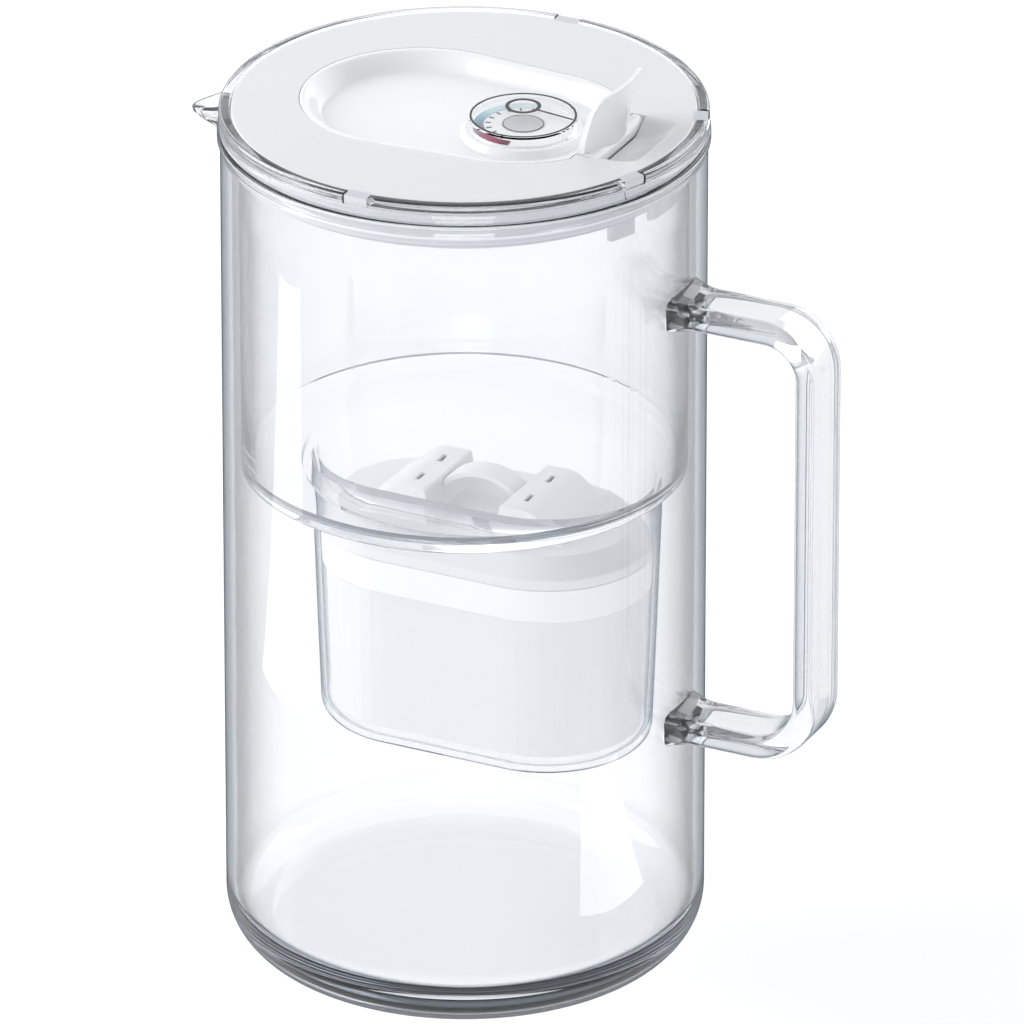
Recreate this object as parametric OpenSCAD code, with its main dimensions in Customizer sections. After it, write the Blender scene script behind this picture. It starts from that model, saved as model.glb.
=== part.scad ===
// Water filter pitcher with a flip lid.
// A clear jug carries a clear funnel tank, whose pocket holds an oval filter cartridge.
// The white lid has a sunken flap with a thumb blade and a turning change dial.
// The origin is the centre of the jug's base. Z is up, +X points to the handle, -X to the spout.

/* [Jug] */
// Outer radius of the jug's wall
jug_r = 65; // [58:0.5:75]
// Height of the jug's rim above its base
jug_h = 240.6; // [225:0.1:280]
// Thickness of the jug's wall
jug_wall = 3; // [2:0.1:4]
// Thickness of the jug's base
base_t = 9; // [6:0.5:14]
// Radius of the outer bottom corner
base_round = 16; // [8:1:22]
// Radius of the inner bottom corner
inner_round = 10; // [4:1:16]
// How far the rim bead stands out from the wall
bead_out = 0.8; // [0.3:0.1:1.5]
// Height of the rim bead
bead_h = 3; // [2:0.1:5]

/* [Spout] */
// How far the tip stands out from the jug's wall
spout_reach = 16; // [12:0.5:22]
// Width of the spout where it leaves the wall
spout_w = 30; // [24:1:38]
// Width of the spout near its tip
spout_tip_w = 9; // [7:0.5:14]
// How far the tip's underside lies below the rim
spout_drop = 12.6; // [10:0.2:16]
// How far the root's underside lies below the rim
spout_root_drop = 23; // [18:1:32]
// Thickness of the spout's lip
spout_t = 2.6; // [2:0.1:4]

/* [Handle] */
// How far the handle stands out from the jug's wall
handle_reach = 43; // [36:1:54]
// Width of the handle bar
handle_w = 16; // [12:0.5:22]
// Thickness of the handle bar
handle_t = 7.2; // [5:0.2:10]
// Height of the upper arm's top face
handle_top_z = 204.5; // [190:0.5:215]
// Height of the lower arm's bottom face
handle_low_z = 74.8; // [50:0.2:90]
// Radius of the handle's upper outer corner
handle_round_top = 16; // [11:1:24]
// Radius of the handle's lower outer corner
handle_round_low = 19; // [11:1:24]
// Extra width and height of the feet that meet the wall
foot_flare = 3.6; // [1:0.2:6]
// Length of the feet
foot_len = 5.5; // [3:0.5:8]

/* [Funnel tank] */
// Gap between the tank and the jug's inside
tank_gap = 2; // [1.2:0.1:4]
// Thickness of the tank's wall and floor
tank_wall = 2; // [1.4:0.1:2.4]
// Depth of the tank below the jug's rim
tank_depth = 98.6; // [80:0.2:120]
// Radius of the tank's bottom corner
tank_round = 4; // [3:0.5:8]
// Clear gap between the tank's collar and the jug's inside
collar_gap = 0.6; // [0.3:0.1:1]
// Height of the locating collar below the rim
collar_h = 7.2; // [4:0.2:12]
// Thickness of the flange that rests on the jug's rim
flange_t = 3; // [2:0.1:5]
// How far the flange stands out from the jug's wall
flange_out = 0.4; // [0.1:0.1:0.8]
// Height of the clear ring that stands round the lid
ring_h = 2.85; // [2:0.05:5]
// Width of the clear ring
ring_w = 3.1; // [2:0.1:4]
// Height of the step on the tank's floor
step_h = 2; // [1:0.2:4]
// Gap between the step's inner edge and the pocket's mouth
step_margin = 1.4; // [0.8:0.2:3]

/* [Pocket] */
// Length of the pocket's mouth
pocket_l = 98; // [88:1:102]
// Width of the pocket's mouth
pocket_w = 62; // [52:1:68]
// Depth of the pocket below the tank's floor
pocket_depth = 76; // [60:1:90]
// How much the pocket's radius shrinks towards its bottom
pocket_taper = 2.6; // [1:0.2:5]
// Thickness of the pocket's wall
pocket_wall = 1.6; // [1.2:0.1:2.4]
// How far the pocket's centre is shifted towards the handle
pocket_shift = 6.3; // [4:0.1:7]
// Size of the rounding at the pocket's bottom edge
pocket_round = 5; // [3:0.5:8]
// Radius of the outlet hole in the pocket's bottom
outlet_r = 11; // [6:0.5:16]

/* [Cartridge] */
// Height of the cartridge above its seat on the pocket's rounded edge
cart_lift = 0.1; // [0.1:0.1:2]
// Gap between the cartridge's shell and the pocket's wall
cart_gap = 1.4; // [0.8:0.1:2.4]
// Thickness of the cartridge's shell
cart_wall = 1.4; // [1:0.1:2]
// Height of the shell from its bottom to the cap's edge
cart_h = 51; // [44:1:56]
// Height of the soft seal band below the cap
band_h = 9.6; // [6:0.2:14]
// Gap between the seal band and the pocket's wall
band_gap = 0.3; // [0.1:0.05:0.5]
// Depth of the carbon bed
carbon_h = 20; // [10:1:24]
// Radius of the small outlet holes in the shell's bottom
drain_r = 1.5; // [1:0.1:2.2]

/* [Cartridge cap] */
// Height of the cap's shoulder above the shell
shoulder_h = 8; // [5:0.5:11]
// Height of the vented humps above the shoulder
hump_h = 8.4; // [5:0.2:11]
// Depth of the humps across the cap
hump_w = 29.2; // [22:0.4:36]
// Gap between the two humps at their tops
hump_gap = 22; // [18:0.5:28]
// Length of one hump's flat top
hump_flat = 7.5; // [5:0.5:12]
// Length of one hump's outer slope
hump_slope = 16; // [10:0.5:20]
// Thickness of the cap's wall
cap_wall = 1.5; // [1:0.1:2]
// Height of the pull bow above the humps
bow_rise = 4.8; // [3:0.2:9]
// Width of the pull bow
bow_w = 8; // [5:0.5:12]
// Thickness of the pull bow
bow_t = 1.8; // [1.2:0.1:2.6]
// Distance between the two vent slots of a hump
slot_pitch = 13.4; // [9:0.2:18]

/* [Lid] */
// Thickness of the lid's top plate
lid_t = 2.3; // [1.8:0.1:3.5]
// Gap between the lid's edge and the clear ring
lid_gap = 0.3; // [0.2:0.05:0.6]
// Thickness of the liner's plate under the lid
liner_t = 1.8; // [1.2:0.1:2.4]
// Height of the liner's skirt below the lid plate
skirt_h = 12; // [10:0.5:20]
// Thickness of the liner's skirt
skirt_t = 1.8; // [1.2:0.1:2.4]
// Gap between the skirt and the tank's inside
skirt_gap = 0.4; // [0.3:0.1:0.8]
// Length of the teeth below the skirt at the handle side
tooth_h = 4.6; // [2:0.2:8]
// Width of the rim keys that stop the lid from turning
key_w = 7.2; // [4:0.2:10]

/* [Flap] */
// Radius of the flap's end at the spout side
flap_r = 32; // [28:0.5:34]
// Radius of the flap's end at the handle side
flap_rear_r = 30; // [26:0.5:32]
// Distance from the jug's axis to the centre of the spout end
flap_shift = 13; // [11:0.5:15]
// Depth of the trough sunk into the flap
trough_depth = 4.6; // [3:0.1:5.5]
// Width of the trough's soft side wall
trough_slope = 4.2; // [3:0.1:6]
// Thickness of the flap's floor
flap_floor = 2.2; // [1.6:0.1:2.6]
// Inward draft of the flap's edge, per unit of depth
flap_draft = 0.35; // [0.3:0.05:0.45]
// Width of the seam round the flap
flap_seam = 0.3; // [0.2:0.05:0.5]
// Overlap of the ledge under the flap's edge
ledge_w = 2; // [1.4:0.2:3.2]
// Thickness of the soft seal under the flap
seal_t = 0.4; // [0.3:0.05:0.8]

/* [Hinge and thumb blade] */
// Distance from the lid's edge to the hinge axis
hinge_margin = 18.4; // [17:0.2:22]
// Distance from the flap's rear end to the hinge axis
hinge_inset = 2.4; // [1.5:0.1:4]
// Radius of the hinge axle
axle_r = 1.4; // [1:0.05:1.6]
// Radial running clearance of the axle
axle_play = 0.05; // [0.02:0.01:0.09]
// Radius of the flap's hinge barrel
barrel_r = 2.6; // [2.3:0.1:3]
// Length of the hinge barrel
barrel_l = 30; // [24:1:34]
// Width of the bearing lugs beside the barrel
lug_w = 3.7; // [2.5:0.1:5]
// Height of the thumb blade above the lid
blade_h = 15.8; // [10:0.2:22]
// Width of the thumb blade
blade_w = 28; // [20:1:30]
// Thickness of the thumb blade
blade_t = 1.8; // [1.2:0.1:2.2]
// Radius of the blade's curve, seen from above
blade_bow = 30; // [20:1:40]
// Backward lean of the blade in degrees
blade_lean = 12; // [4:1:13]
// Depth of the thumb dish behind the blade
dish_depth = 3.4; // [2.8:0.1:3.4]
// Length of the thumb dish
dish_l = 10.5; // [8.5:0.5:11.5]

/* [Dial] */
// Distance from the jug's axis to the dial's centre
dial_x = 17.5; // [8:0.5:18]
// Radius of the dial's base
dial_base_r = 15.7; // [12:0.1:17]
// Height of the dial's base above the trough
dial_base_t = 1.8; // [0.6:0.1:3.6]
// Radius of the turning cap
dial_cap_r = 14.6; // [11:0.1:15]
// Wall thickness of the turning cap
dial_cap_t = 1; // [0.7:0.1:1.2]
// Radius of the grey hub
dial_hub_r = 5.4; // [3:0.1:7]
// Radius of the black marker ring
marker_r = 4.8; // [3:0.1:5.4]
// Distance from the dial's centre to the marker ring
marker_shift = 6; // [5.6:0.1:8]
// Turn of the marker ring round the dial at the shown setting
marker_turn = 26; // [0:1:360]

/* [Hidden] */
$fn = 96;
hull_fn = 48;
eps = 0.01;
seat_gap = 0.15;
running_gap = 0.3;
print_t = 0.12;

// Jug levels
inner_r = jug_r - jug_wall;
// Funnel tank levels
tank_r = inner_r - tank_gap;
tank_in_r = tank_r - tank_wall;
tank_z = jug_h - tank_depth;
tank_floor_z = tank_z + tank_wall;
flange_z = jug_h + seat_gap;
flange_top = flange_z + flange_t;
flange_r = jug_r + flange_out;
ring_in_r = flange_r - ring_w;
collar_r = inner_r - collar_gap;
step_x = tank_in_r - pocket_l / 2 - step_margin;
// Pocket: straight half length between the two round ends
pocket_s = (pocket_l - pocket_w) / 2;
pocket_z = tank_z - pocket_depth;
pocket_r = pocket_w / 2;
pocket_low_r = pocket_r - pocket_taper;
pocket_slope = pocket_taper / pocket_depth;
// Cartridge levels
edge_slope = 0.7;
cart_z = pocket_z + pocket_wall + pocket_round - (cart_gap - running_gap) / edge_slope + cart_lift;
cart_top = cart_z + cart_h;
band_z = cart_top - band_h;
screen_t = 0.8;
fill_gap = 0.3;
bed_z = cart_z + cart_wall + screen_t + fill_gap;
bed_top = cart_top - screen_t - fill_gap;
carbon_z = bed_top - fill_gap - carbon_h;
resin_h = carbon_z - screen_t - fill_gap * 2 - bed_z;
shoulder_z = cart_top + shoulder_h;
hump_z = shoulder_z + hump_h;
// Lid levels
lid_z = flange_top + seat_gap;
lid_top = lid_z + lid_t;
lid_r = ring_in_r - lid_gap;
skirt_r = tank_in_r - skirt_gap;
skirt_z = lid_z - skirt_h;
liner_z = lid_z - liner_t;
// Flap levels
hinge_x = lid_r - hinge_margin;
rear_shift = hinge_x + hinge_inset - flap_rear_r;
flap_span = flap_shift + rear_shift;
trough_z = lid_top - trough_depth;
flap_z = trough_z - flap_floor;
ledge_t = 1.2;
seat_w = (lid_top - flap_z) * flap_draft + ledge_w;
ledge_z = flap_z - seal_t - 0.1 - ledge_t;
well_wall = 1.8;
// Hinge
hinge_z = lid_top - barrel_r;
bore_r = axle_r + axle_play;
lug_r = barrel_r + 1.4;
lug_x = hinge_x - barrel_r + running_gap;
lug_y = barrel_l / 2 + running_gap;
block_y = lug_y + lug_w;
block_z = hinge_z - barrel_r - 0.1;
tongue_x = hinge_x + barrel_r + running_gap;
dish_r = (dish_l * dish_l + dish_depth * dish_depth) / (2 * dish_depth);
block_end = tongue_x + dish_l * 0.72;
axle_l = 2 * (block_y - 0.5);
// Dial levels
dial_boss_r = dial_cap_r - dial_cap_t - axle_play;
dial_boss_z = trough_z + dial_base_t;
dial_boss_h = 0.5;
dial_face_z = dial_boss_z + dial_boss_h;
dial_cap_z = dial_boss_z + seat_gap;
dial_cap_h = 3.3;
dial_flare = 1;
dial_cap_top = dial_cap_z + dial_cap_h;
scale_out_r = dial_boss_r - 0.3;
scale_w = 2.6;
hub_t = 0.2;

clear = [0.80, 0.87, 0.90, 0.35];
clear_edge = [0.72, 0.82, 0.88, 0.5];

// Helpers

// A tapered bar with round ends. s is half the distance between the ends' centres.
module taper_bar(s, low_r, high_r, h) {
  hull() {
    translate([-s, 0, 0]) cylinder(h = h, r1 = low_r, r2 = high_r, $fn = hull_fn);
    translate([s, 0, 0]) cylinder(h = h, r1 = low_r, r2 = high_r, $fn = hull_fn);
  }
}

// The pocket's outer radius at a height
function pocket_at(z) = pocket_low_r + (z - pocket_z) * pocket_slope;
// The pocket's inner radius at a height
function pocket_in_at(z) = pocket_at(z) - pocket_wall;
// The cartridge shell's outer radius at a height
function shell_at(z) = pocket_in_at(z) - cart_gap;

// A slice of the cartridge's inside between two heights, drawn in from the shell's outer face
module cart_slice(z0, z1, inset) {
  translate([pocket_shift, 0, z0]) taper_bar(pocket_s, shell_at(z0) - inset, shell_at(z1) - inset, z1 - z0);
}

// The flap's oval outline, grown or shrunk
module flap_outline(grow) {
  hull() {
    translate([-flap_shift, 0]) circle(r = flap_r + grow);
    translate([rear_shift, 0]) circle(r = flap_rear_r + grow);
  }
}

// A flat rectangle between two x values, centred on y
module band_2d(x0, x1, w) {
  translate([x0, -w / 2]) square([x1 - x0, w]);
}

// The part of a slab in front of the hinge
module front_of(x) {
  intersection() {
    children();
    band_2d(-jug_r, x, 2 * jug_r);
  }
}

// A plug with the flap's oval outline at the lid's top, narrower by the draft further down
module flap_plug(grow, z0) {
  depth = lid_top - z0;
  inset = depth * flap_draft - grow;
  translate([0, 0, z0]) hull() {
    translate([-flap_shift, 0, 0]) cylinder(h = depth, r1 = flap_r - inset, r2 = flap_r + grow, $fn = hull_fn);
    translate([rear_shift, 0, 0]) cylinder(h = depth, r1 = flap_rear_r - inset, r2 = flap_rear_r + grow,
      $fn = hull_fn);
  }
}

// The space at both sides of the barrel that lies within a radius of the hinge axis, or behind it
module lug_zone(r, y0, y1, z0) {
  for (side = [0, 1]) {
    mirror([0, side, 0]) {
      translate([hinge_x, y1, hinge_z]) rotate([90, 0, 0]) cylinder(h = y1 - y0, r = r);
      translate([hinge_x - r, y0, z0]) cube([r, y1 - y0, hinge_z - z0]);
      translate([hinge_x, y0, z0]) cube([flap_rear_r, y1 - y0, lid_top + 1 - z0]);
    }
  }
}

// Jug

// Half section of the jug's wall, base and rim bead
module jug_section() {
  difference() {
    union() {
      square([jug_r - base_round, jug_h]);
      translate([0, base_round]) square([jug_r, jug_h - base_round]);
      translate([jug_r - base_round, base_round]) circle(r = base_round);
      translate([inner_r, jug_h - bead_h]) square([jug_wall + bead_out, bead_h]);
    }
    translate([0, base_t + inner_round]) square([inner_r, jug_h]);
    translate([0, base_t]) square([inner_r - inner_round, jug_h]);
    translate([inner_r - inner_round, base_t + inner_round]) circle(r = inner_round);
    translate([-2 * jug_r, 0]) square([2 * jug_r, jug_h]);
  }
}

// Outer body of the pouring spout, which narrows and droops towards its tip
module spout_body() {
  tip_x = -jug_r - spout_reach + spout_t;
  root_r = 4;
  difference() {
    hull() {
      for (side = [-1, 1]) {
        translate([-inner_r, side * (spout_w / 2 - root_r), jug_h - root_r - 0.4]) sphere(r = root_r, $fn = 24);
        translate([tip_x + 3, side * (spout_tip_w / 2 - spout_t), jug_h - 6.6]) sphere(r = spout_t, $fn = 24);
      }
      translate([-inner_r + 2, 0, jug_h - spout_root_drop]) sphere(r = root_r, $fn = 24);
      translate([tip_x, 0, jug_h - spout_drop + spout_t]) sphere(r = spout_t, $fn = 24);
    }
    translate([0, 0, jug_h - 50]) cylinder(h = 60, r = inner_r);
  }
}

// The open channel inside the spout, which also cuts the rim
module spout_channel() {
  tip_x = -jug_r - spout_reach - 2;
  cut_r = 2;
  floor_z = jug_h - spout_drop + 2 * spout_t;
  hull() {
    for (side = [-1, 1]) {
      translate([-inner_r + 4, side * (spout_w / 2 - spout_t - 3.4), jug_h + cut_r]) sphere(r = cut_r, $fn = 24);
      translate([-inner_r + 4, side * (spout_w / 2 - spout_t - 5), jug_h - 6]) sphere(r = cut_r, $fn = 24);
      translate([tip_x, side * (spout_tip_w / 2 - spout_t - 0.4), jug_h + cut_r]) sphere(r = cut_r, $fn = 24);
    }
    translate([-inner_r + 4, 0, jug_h - spout_root_drop + spout_t + 8]) sphere(r = cut_r, $fn = 24);
    translate([tip_x, 0, floor_z + cut_r]) sphere(r = cut_r, $fn = 24);
  }
}

module glass_jug() {
  color(clear)
  difference() {
    union() {
      rotate_extrude() jug_section();
      spout_body();
    }
    spout_channel();
  }
}

// Side outline of the handle, with a radius on each outer corner
module handle_outline(x1, z0, z1, low_round, top_round) {
  x0 = jug_r - 4;
  difference() {
    translate([x0, z0]) square([x1 - x0, z1 - z0]);
    translate([x1 - top_round, z1 - top_round]) square(top_round + 1);
    translate([x1 - low_round, z0 - 1]) square(low_round + 1);
  }
  translate([x1 - top_round, z1 - top_round]) circle(r = top_round);
  translate([x1 - low_round, z0 + low_round]) circle(r = low_round);
}

// A foot that flares from the bar to the wall, on an arm whose middle is at a height
module handle_foot(z) {
  translate([jug_r - 2, 0, z]) hull() {
    cube([eps, handle_w + foot_flare, handle_t + foot_flare * 0.7], center = true);
    translate([2 + foot_len, 0, 0]) cube([eps, handle_w, handle_t], center = true);
  }
}

module jug_handle() {
  x1 = jug_r + handle_reach;
  color(clear_edge)
  difference() {
    union() {
      rotate([90, 0, 0]) linear_extrude(handle_w, center = true) difference() {
        handle_outline(x1, handle_low_z, handle_top_z, handle_round_low, handle_round_top);
        handle_outline(x1 - handle_t, handle_low_z + handle_t, handle_top_z - handle_t,
          handle_round_low - handle_t, handle_round_top - handle_t);
      }
      handle_foot(handle_top_z - handle_t / 2);
      handle_foot(handle_low_z + handle_t / 2);
    }
    cylinder(h = jug_h, r = jug_r);
  }
}

// Funnel tank

// Half section of the tank: wall, floor, collar, flange and the clear ring round the lid
module tank_section() {
  translate([tank_in_r, tank_z + tank_round]) square([tank_wall, flange_top - tank_z - tank_round]);
  translate([0, tank_z]) square([tank_r - tank_round, tank_wall]);
  translate([tank_r - tank_round, tank_z + tank_round]) intersection() {
    difference() {
      circle(r = tank_round);
      circle(r = tank_round - tank_wall);
    }
    translate([0, -tank_round]) square(tank_round);
  }
  translate([tank_r - eps, jug_h - collar_h]) square([collar_r - tank_r + eps, collar_h + seat_gap + eps]);
  translate([tank_in_r, flange_z]) square([flange_r - tank_in_r, flange_t]);
  translate([ring_in_r, flange_top - eps]) square([ring_w, ring_h + eps]);
}

// Keys at the lid's edge: one at each side and a pair beside the handle
module rim_keys(w, r0, r1) {
  for (turn = [90, -90, 20, -20]) {
    rotate(turn) translate([r0, -w / 2]) square([r1 - r0, w]);
  }
}

module funnel_tank() {
  color(clear)
  difference() {
    union() {
      rotate_extrude() tank_section();
      // The raised step round the tank's floor
      translate([0, 0, tank_floor_z - eps]) linear_extrude(step_h + eps) difference() {
        circle(r = tank_in_r + eps);
        translate([step_x, 0]) circle(r = tank_in_r - step_x);
      }
      // Outer face of the pocket
      translate([pocket_shift, 0, pocket_z]) hull() {
        translate([0, 0, pocket_round]) taper_bar(pocket_s, pocket_at(pocket_z + pocket_round), pocket_r,
          pocket_depth - pocket_round + eps);
        taper_bar(pocket_s, pocket_low_r - pocket_round * edge_slope,
          pocket_low_r - pocket_round * edge_slope, eps);
      }
    }
    // Inside of the pocket, open at the tank's floor
    translate([pocket_shift, 0, pocket_z + pocket_wall]) hull() {
      translate([0, 0, pocket_round]) taper_bar(pocket_s, pocket_in_at(pocket_z + pocket_wall + pocket_round),
        pocket_in_at(tank_floor_z + step_h + 1), pocket_depth + tank_wall + step_h + 1 - pocket_wall - pocket_round);
      taper_bar(pocket_s, pocket_low_r - pocket_wall - pocket_round * edge_slope,
        pocket_low_r - pocket_wall - pocket_round * edge_slope, eps);
    }
    translate([pocket_shift, 0, pocket_z - 1]) cylinder(h = pocket_wall + 2, r = outlet_r);
    // Gap in the collar that lets the water reach the spout
    translate([-jug_r, -spout_w / 2 + 2, jug_h - collar_h - 1])
      cube([jug_r - tank_r, spout_w - 4, collar_h + 1]);
    // Notches for the lid's keys
    translate([0, 0, flange_top]) linear_extrude(ring_h + 1) rim_keys(key_w, ring_in_r - 1, flange_r + 1);
  }
}

// Filter cartridge

module cartridge_shell() {
  color("white")
  difference() {
    cart_slice(cart_z, cart_top, 0);
    cart_slice(cart_z + cart_wall, cart_top + 1, cart_wall);
    // Rows of small outlet holes
    for (column = [-3:3], row = [-1:1]) {
      translate([pocket_shift + column * 8, row * 10, cart_z - 1]) cylinder(h = cart_wall + 2, r = drain_r);
    }
  }
}

module outlet_screen() {
  color("lightgray") cart_slice(cart_z + cart_wall, cart_z + cart_wall + screen_t, cart_wall + fill_gap);
}

module resin_bed() {
  color("khaki") cart_slice(bed_z, bed_z + resin_h, cart_wall + fill_gap);
}

module bed_divider() {
  color("lightgray") cart_slice(carbon_z - fill_gap - screen_t, carbon_z - fill_gap, cart_wall + fill_gap);
}

module carbon_bed() {
  color("dimgray") cart_slice(carbon_z, carbon_z + carbon_h, cart_wall + fill_gap);
}

module inlet_screen() {
  color("lightgray") cart_slice(cart_top - screen_t, cart_top, cart_wall + fill_gap);
}

// Soft band that seals the cartridge in the pocket
module seal_band() {
  color("whitesmoke")
  difference() {
    translate([pocket_shift, 0, band_z]) taper_bar(pocket_s, pocket_in_at(band_z) - band_gap,
      pocket_in_at(cart_top) - band_gap, band_h);
    cart_slice(band_z - 1, cart_top + 1, 0);
  }
}

// Side outline of one vented hump, rising from the shoulder on the +x side
module hump_outline(inset) {
  x0 = hump_gap / 2 + inset;
  x1 = hump_gap / 2 + hump_flat;
  x2 = hump_gap / 2 + hump_flat + hump_slope - inset;
  top = hump_z - inset;
  foot = cart_top + cap_wall + inset;
  polygon([[x0 - 2, foot], [x0, top - 0.6], [x0 + 0.6, top], [x1, top], [x1 + 3, top - 1], [x2, foot + 3], [x2, foot]]);
}

// Both humps as solid bars across the cap
module humps(inset) {
  translate([pocket_shift, 0, 0]) for (side = [0, 1]) {
    mirror([side, 0, 0]) rotate([90, 0, 0]) linear_extrude(hump_w - 2 * inset, center = true) hump_outline(inset);
  }
}

// The cap's rounded shoulder, drawn in by a wall
module shoulder(inset) {
  edge_r = pocket_in_at(cart_top) - band_gap - inset;
  translate([pocket_shift, 0, cart_top]) hull() {
    taper_bar(pocket_s, edge_r, edge_r, 3);
    taper_bar(pocket_s, edge_r - 5, edge_r - 5, shoulder_h - inset);
  }
}

module cartridge_cap() {
  slot_x = hump_gap / 2 + hump_flat * 0.7;
  color("white")
  difference() {
    union() {
      shoulder(0);
      humps(0);
    }
    translate([0, 0, -eps]) shoulder(cap_wall);
    humps(cap_wall);
    // Two vent slots in each hump's top
    for (side = [-1, 1], row = [-1, 1]) {
      translate([pocket_shift + side * slot_x, row * slot_pitch / 2, hump_z]) cube([1.2, 4.4, 6], center = true);
    }
  }
}

// Arched bow between the humps, for pulling the cartridge out
module pull_bow() {
  half = hump_gap / 2;
  bow_r = (half * half + bow_rise * bow_rise) / (2 * bow_rise);
  centre_z = hump_z + bow_rise - bow_r - 1.6;
  color("white")
  difference() {
    translate([pocket_shift, 0, centre_z]) rotate([90, 0, 0]) linear_extrude(bow_w, center = true) intersection() {
      difference() {
        circle(r = bow_r);
        circle(r = bow_r - bow_t);
      }
      translate([-half, 0]) square([2 * half, bow_r]);
    }
    humps(0);
  }
}

// Lid

// Block under the lid's plate that holds the axle and the thumb dish
module hinge_block() {
  translate([lug_x, -block_y, block_z]) cube([block_end - lug_x, 2 * block_y, lid_top - block_z]);
}

module lid_cover() {
  color("white")
  difference() {
    union() {
      translate([0, 0, lid_z]) cylinder(h = lid_t, r = lid_r);
      translate([0, 0, lid_z]) linear_extrude(lid_t) rim_keys(key_w - 2 * lid_gap, lid_r - 2, flange_r - 0.4);
      hinge_block();
    }
    // Opening for the flap, which leaves the lugs, and for the barrel's tongue
    difference() {
      flap_plug(flap_seam, block_z - 1);
      lug_zone(lug_r, lug_y, block_y, block_z - 2);
    }
    translate([0, 0, lid_top]) linear_extrude(1) flap_outline(flap_seam);
    translate([0, 0, block_z - 1]) linear_extrude(20) band_2d(rear_shift, tongue_x, 2 * lug_y);
    // Bores for the axle
    translate([hinge_x, 0, hinge_z]) rotate([90, 0, 0]) cylinder(h = axle_l + 0.2, r = bore_r, center = true);
    // Thumb dish
    translate([tongue_x, 0, lid_top - dish_depth + dish_r]) rotate([90, 0, 0])
      cylinder(h = 2 * lug_y, r = dish_r, center = true);
  }
}

// A tooth under the skirt at an angle from the handle
module skirt_tooth(turn, w, h) {
  intersection() {
    translate([0, 0, skirt_z - h]) difference() {
      cylinder(h = h + 1, r = skirt_r);
      translate([0, 0, -1]) cylinder(h = h + 3, r = skirt_r - skirt_t);
    }
    rotate(turn) translate([skirt_r - 6, -w / 2, skirt_z - h]) cube([8, w, h + 1]);
  }
}

module lid_liner() {
  rear_y = block_y + running_gap + well_wall;
  color("gainsboro")
  difference() {
    union() {
      difference() {
        translate([0, 0, skirt_z]) cylinder(h = lid_z - skirt_z, r = skirt_r);
        translate([0, 0, skirt_z - 1]) cylinder(h = liner_z - skirt_z + 1, r = skirt_r - skirt_t);
      }
      // Well round the flap, with its ledge
      translate([0, 0, ledge_z]) linear_extrude(lid_z - ledge_z) intersection() {
        union() {
          flap_outline(flap_seam + well_wall);
          band_2d(rear_shift, skirt_r, 2 * rear_y);
        }
        circle(r = skirt_r - skirt_t + eps);
      }
      skirt_tooth(19, 8, tooth_h);
      skirt_tooth(-19, 8, tooth_h);
      skirt_tooth(0, 15, tooth_h * 0.8);
    }
    // Room for the flap above the ledge
    translate([0, 0, ledge_z + ledge_t]) linear_extrude(20) {
      flap_outline(flap_seam);
      band_2d(rear_shift, block_end + running_gap, 2 * (block_y + running_gap));
    }
    // Fill hole inside the ledge
    translate([0, 0, ledge_z - 1]) linear_extrude(10) front_of(hinge_x - 6) flap_outline(-seat_w);
    // Groove for the skirt's seal
    translate([0, 0, skirt_z + 3]) difference() {
      cylinder(h = 2, r = skirt_r + 1);
      translate([0, 0, -1]) cylinder(h = 4, r = skirt_r - 0.8);
    }
  }
}

module skirt_seal() {
  color("silver")
  translate([0, 0, skirt_z + 3]) difference() {
    cylinder(h = 2, r = skirt_r + skirt_gap * 0.4);
    translate([0, 0, -1]) cylinder(h = 4, r = skirt_r - 0.8);
  }
}

module hinge_axle() {
  color("silver") translate([hinge_x, 0, hinge_z]) rotate([90, 0, 0]) cylinder(h = axle_l, r = axle_r, center = true);
}

// Curved thumb blade, cut from a leaning tube
module thumb_blade() {
  front_x = hinge_x + 1.7 - blade_bow;
  corner = 4;
  top = lid_top + blade_h;
  foot = trough_z - 0.6;
  intersection() {
    translate([front_x, 0, lid_top]) rotate([0, blade_lean, 0]) translate([0, 0, -12]) difference() {
      cylinder(h = blade_h + 24, r = blade_bow);
      translate([0, 0, -1]) cylinder(h = blade_h + 26, r = blade_bow - blade_t);
    }
    translate([rear_shift, 0, 0]) rotate([90, 0, 90]) linear_extrude(flap_rear_r + 10) {
      translate([-blade_w / 2, foot]) square([blade_w, blade_h + lid_top - foot - corner]);
      translate([-blade_w / 2 + corner, foot]) square([blade_w - 2 * corner, top - foot]);
      for (side = [-1, 1]) {
        translate([side * (blade_w / 2 - corner), top - corner]) circle(r = corner);
      }
    }
  }
}

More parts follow.
